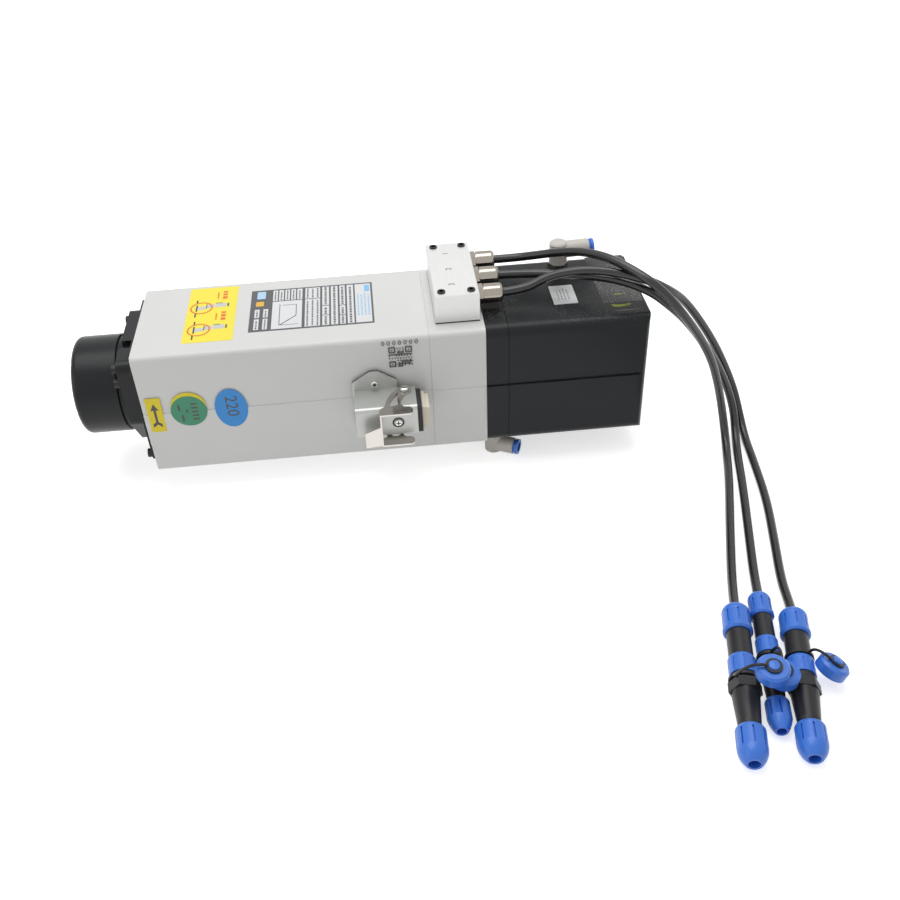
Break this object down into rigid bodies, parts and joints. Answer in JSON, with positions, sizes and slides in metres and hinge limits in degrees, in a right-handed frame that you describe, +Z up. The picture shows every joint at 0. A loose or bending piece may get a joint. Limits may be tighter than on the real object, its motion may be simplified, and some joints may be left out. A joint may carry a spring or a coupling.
{
  "type": "motor spindle",
  "caption": "Square air-cooled router spindle with tool taper, pneumatic tool release, rear fan, junction box, latching power connector and sensor cables with plugs.",
  "frame": {"origin": "centre of the tool taper's mouth on the spindle axis, at the face of the nose", "axes": "+X along the spindle axis from the nose to the fan, +Z up through the junction box, -Y out of the side with the power connector"},
  "size_m": [0.5202, 0.4028, 0.1609],
  "materials": {
    "painted_body": "fine sand-texture light grey paint",
    "black_body": "satin black paint",
    "black_anodised": "satin black anodised",
    "brushed_box": "brushed, clear anodised",
    "steel": "ground",
    "polished_steel": "polished stainless",
    "black_screw": "black oxide",
    "laminations": "stacked laminations",
    "copper_winding": "enamelled copper in varnish",
    "nickel": "nickel-plated brass",
    "contact_brass": "plain",
    "diecast": "light grey die-cast",
    "black_rubber": "matt",
    "cable_jacket": "smooth black PVC",
    "blue_plastic": "cornflower blue nylon",
    "black_plastic": "black nylon",
    "cream_plastic": "cream insulating plastic",
    "fitting_grey": "warm light grey",
    "fan_plastic": "black"
  },
  "bodies": {
    "frame": {"cable_1": "cable_jacket", "cable_2": "cable_jacket", "cable_3": "cable_jacket", "cap_straps": "black_plastic", "connector_contacts": "contact_brass", "connector_gasket": "black_rubber", "connector_housing": "diecast", "connector_insert": "cream_plastic", "connector_screws": "black_screw", "connector_seal": "black_rubber", "cylinder_body": "brushed_box", "cylinder_plate": "black_body", "dust_caps": "blue_plastic", "fan_frame": "fan_plastic", "fan_guard": "black_body", "fan_housing": "black_body", "fitting_bases": "nickel", "front_bearing_housing": "black_anodised", "front_outer_races": "steel", "front_plate": "black_anodised", "front_screws": "black_screw", "gland_bodies": "nickel", "gland_nuts": "nickel", "junction_box": "brushed_box", "junction_box_gasket": "black_rubber", "junction_box_screws": "black_screw", "motor_housing": "painted_body", "nose_ring": "black_anodised", "plug_nuts": "blue_plastic", "plug_shells": "black_plastic", "proximity_sensors": "steel", "rear_bearing_block": "painted_body", "rear_outer_races": "steel", "rear_screws": "black_screw", "socket_nuts": "blue_plastic", "socket_shells": "black_plastic", "stator_core": "laminations", "stator_windings": "copper_winding"},
    "rotor": {"spindle_shaft": "steel", "rotor_core": "laminations", "front_inner_races": "steel", "rear_inner_races": "steel", "shaft_nuts": "steel", "spring_nut": "steel"},
    "drawbar_body": {"drawbar": "steel", "gripper": "steel", "disc_springs": "steel"},
    "front_balls": {"front_ball_set": "steel"},
    "rear_balls": {"rear_ball_set": "steel"},
    "piston_body": {"piston": "brushed_box", "piston_seals": "black_rubber"},
    "fan_rotor": {"fan_impeller": "fan_plastic"},
    "lever": {"latch_lever": "polished_steel"},
    "coupling_1": {"coupling_ring_1": "blue_plastic"},
    "coupling_2": {"coupling_ring_2": "blue_plastic"},
    "coupling_3": {"coupling_ring_3": "blue_plastic"},
    "top_fitting": {"top_elbow": "fitting_grey"},
    "top_ring": {"top_release_ring": "blue_plastic"},
    "bottom_fitting": {"bottom_elbow": "fitting_grey"},
    "bottom_ring": {"bottom_release_ring": "blue_plastic"}
  },
  "joints": [
    {"name": "rotor_spin", "type": "hinge", "parent": "frame", "child": "rotor", "pos_m": [0, 0, 0], "axis": [1, 0, 0], "continuous": true},
    {"name": "front_cage_spin", "type": "hinge", "parent": "frame", "child": "front_balls", "pos_m": [0.026, 0, 0], "axis": [1, 0, 0], "continuous": true},
    {"name": "rear_cage_spin", "type": "hinge", "parent": "frame", "child": "rear_balls", "pos_m": [0.281, 0, 0], "axis": [1, 0, 0], "continuous": true},
    {"name": "piston_stroke", "type": "slide", "parent": "frame", "child": "piston_body", "axis": [-1, 0, 0], "range_m": [0, 0.008]},
    {"name": "drawbar_stroke", "type": "slide", "parent": "rotor", "child": "drawbar_body", "axis": [-1, 0, 0], "range_m": [0, 0.007], "deforming": ["disc_springs"]},
    {"name": "fan_spin", "type": "hinge", "parent": "frame", "child": "fan_rotor", "pos_m": [0.414, 0, 0], "axis": [1, 0, 0], "continuous": true},
    {"name": "latch_swing", "type": "hinge", "parent": "frame", "child": "lever", "pos_m": [0.246, -0.0595, -0.00185], "axis": [0, 0, 1], "range_deg": [0, 75]},
    {"name": "top_elbow_swivel", "type": "hinge", "parent": "frame", "child": "top_fitting", "pos_m": [0.3755, 0.0345, 0.058], "axis": [0, 0, 1], "range_deg": [0, 120]},
    {"name": "bottom_elbow_swivel", "type": "hinge", "parent": "frame", "child": "bottom_fitting", "pos_m": [0.3152, -0.0304, -0.058], "axis": [0, 0, 1], "range_deg": [-120, 120]},
    {"name": "top_ring_press", "type": "slide", "parent": "top_fitting", "child": "top_ring", "axis": [-0.9976, -0.0698, 0], "range_m": [0, 0.0015]},
    {"name": "bottom_ring_press", "type": "slide", "parent": "bottom_fitting", "child": "bottom_ring", "axis": [-0.8926, 0.4509, 0], "range_m": [0, 0.0015]},
    {"name": "coupling_ring_1_turn", "type": "hinge", "parent": "frame", "child": "coupling_1", "pos_m": [0.4382, -0.28177, -0.0643], "axis": [-0.2174, -0.9761, 0], "range_deg": [0, 120]},
    {"name": "coupling_ring_2_turn", "type": "hinge", "parent": "frame", "child": "coupling_2", "pos_m": [0.45847, -0.27145, -0.0659], "axis": [-0.2006, -0.9797, 0], "range_deg": [0, 120]},
    {"name": "coupling_ring_3_turn", "type": "hinge", "parent": "frame", "child": "coupling_3", "pos_m": [0.47273, -0.29004, -0.0643], "axis": [-0.2364, -0.9717, 0], "range_deg": [0, 120]}
  ],
  "couplings": [
    {"joint": "front_cage_spin", "follows": "rotor_spin", "ratio": 0.418},
    {"joint": "rear_cage_spin", "follows": "rotor_spin", "ratio": 0.406},
    {"joint": "drawbar_stroke", "follows": "piston_stroke", "ratio": 0.875}
  ]
}
